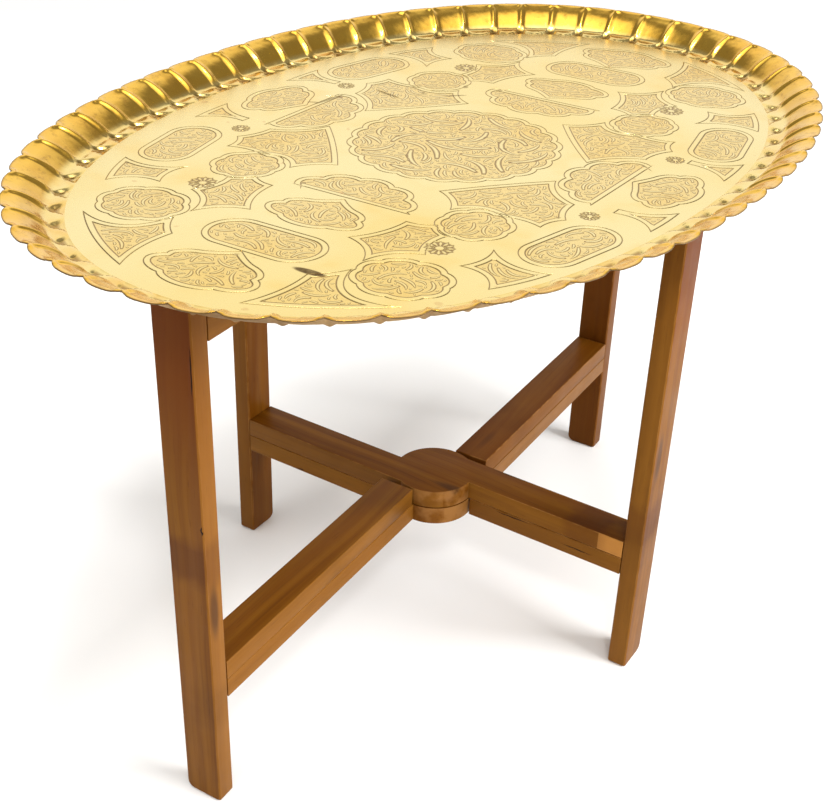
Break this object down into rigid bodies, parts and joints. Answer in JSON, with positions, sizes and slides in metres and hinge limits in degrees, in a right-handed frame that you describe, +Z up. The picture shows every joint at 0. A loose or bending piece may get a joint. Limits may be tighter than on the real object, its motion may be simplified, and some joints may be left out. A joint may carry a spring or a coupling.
{
  "type": "folding tray table",
  "caption": "Low table: an engraved oval brass tray with a fluted rim, resting on a folding stand of two crossed wooden frames.",
  "frame": {"origin": "on the floor, under the pivot that the two folding frames share, which is under the centre of the tray", "axes": "+Z up; +X along the long axis of the oval tray, towards the long frame's right leg; -Y towards the short frame's front leg"},
  "size_m": [0.847, 0.579, 0.5265],
  "materials": {
    "tray_brass": "polished sheet, engraved, with light wear and a few dark stains",
    "stand_wood": "honey-brown stained and varnished, satin to soft gloss",
    "dowel_wood": "plain, unvarnished",
    "pivot_steel": "dull zinc-plated steel",
    "washer_leather": "dark waxed leather"
  },
  "bodies": {
    "short_frame": {"leg_short_front": "stand_wood", "leg_short_back": "stand_wood", "lower_disc_board_short": "stand_wood", "lower_filler_short_front": "stand_wood", "lower_filler_short_back": "stand_wood", "lower_board_dowel_short_front": "dowel_wood", "lower_board_dowel_short_back": "dowel_wood", "lower_filler_dowel_short_front": "dowel_wood", "lower_filler_dowel_short_back": "dowel_wood", "lower_pivot_pin": "pivot_steel", "lower_friction_washer": "washer_leather", "lower_retaining_washer": "pivot_steel", "lower_pivot_screw": "pivot_steel", "top_disc_board_short": "stand_wood", "top_filler_short_front": "stand_wood", "top_filler_short_back": "stand_wood", "top_board_dowel_short_front": "dowel_wood", "top_board_dowel_short_back": "dowel_wood", "top_filler_dowel_short_front": "dowel_wood", "top_filler_dowel_short_back": "dowel_wood", "top_pivot_pin": "pivot_steel", "top_friction_washer": "washer_leather", "top_retaining_washer": "pivot_steel", "top_pivot_screw": "pivot_steel"},
    "long_frame": {"leg_long_right": "stand_wood", "leg_long_left": "stand_wood", "lower_disc_board_long": "stand_wood", "lower_filler_long_right": "stand_wood", "lower_filler_long_left": "stand_wood", "lower_board_dowel_long_right": "dowel_wood", "lower_board_dowel_long_left": "dowel_wood", "lower_filler_dowel_long_right": "dowel_wood", "lower_filler_dowel_long_left": "dowel_wood", "top_disc_board_long": "stand_wood", "top_filler_long_right": "stand_wood", "top_filler_long_left": "stand_wood", "top_board_dowel_long_right": "dowel_wood", "top_board_dowel_long_left": "dowel_wood", "top_filler_dowel_long_right": "dowel_wood", "top_filler_dowel_long_left": "dowel_wood"},
    "tray": {"tray": "tray_brass"}
  },
  "joints": [
    {"name": "fold", "type": "hinge", "parent": "short_frame", "child": "long_frame", "pos_m": [0, 0, 0.13], "axis": [0, 0, 1], "range_deg": [-9, 88]},
    {"name": "tray_lift", "type": "slide", "parent": "short_frame", "child": "tray", "axis": [0, 0, 1], "range_m": [0, 0.15]}
  ]
}
